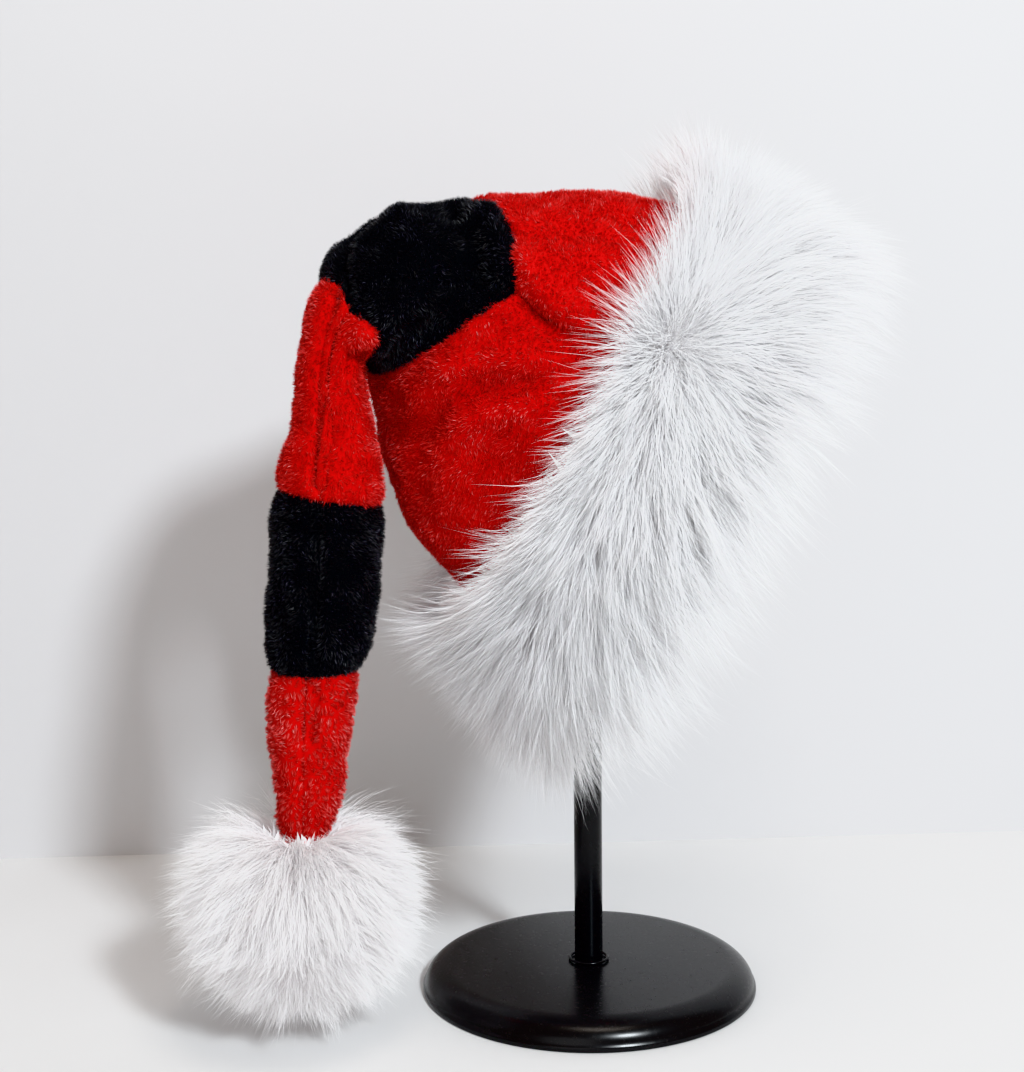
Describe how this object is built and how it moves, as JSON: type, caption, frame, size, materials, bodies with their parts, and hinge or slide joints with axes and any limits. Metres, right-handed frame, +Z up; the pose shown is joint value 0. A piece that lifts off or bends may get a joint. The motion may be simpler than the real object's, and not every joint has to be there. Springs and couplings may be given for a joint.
{
  "type": "santa hat on a display stand",
  "caption": "Red and black plush stocking hat with a deep fur cuff and a fur pompom, its tail hanging to one side, on a round-based black post stand.",
  "frame": {"origin": "centre of the stand's flat underside", "axes": "+Z up along the post; -Y the side that shows the hat's front seam; the tail and pompom hang on the -X side"},
  "size_m": [0.3427, 0.2607, 0.4102],
  "materials": {
    "red_plush": "short velour pile, matt with a soft sheen",
    "black_plush": "short velour pile, matt with a soft sheen",
    "white_fur": "long faux fur, silky",
    "white_backing": "matt knitted backing of the fur cuff",
    "black_paint": "gloss",
    "black_plastic": "matt moulded"
  },
  "bodies": {
    "root": {"crown_outer_panel": "red_plush", "crown_inner_panel": "red_plush", "bend_outer_panel": "black_plush", "bend_inner_panel": "black_plush", "tail_upper_outer_panel": "red_plush", "tail_upper_inner_panel": "red_plush", "tail_band_outer_panel": "black_plush", "tail_band_inner_panel": "black_plush", "tail_lower_outer_panel": "red_plush", "tail_lower_inner_panel": "red_plush", "cuff_band": "white_backing", "cuff_fur": "white_fur", "pompom": "white_fur", "stand_base": "black_paint", "stand_collar": "black_paint", "stand_post": "black_paint", "stand_head": "black_plastic"}
  },
  "joints": []
}
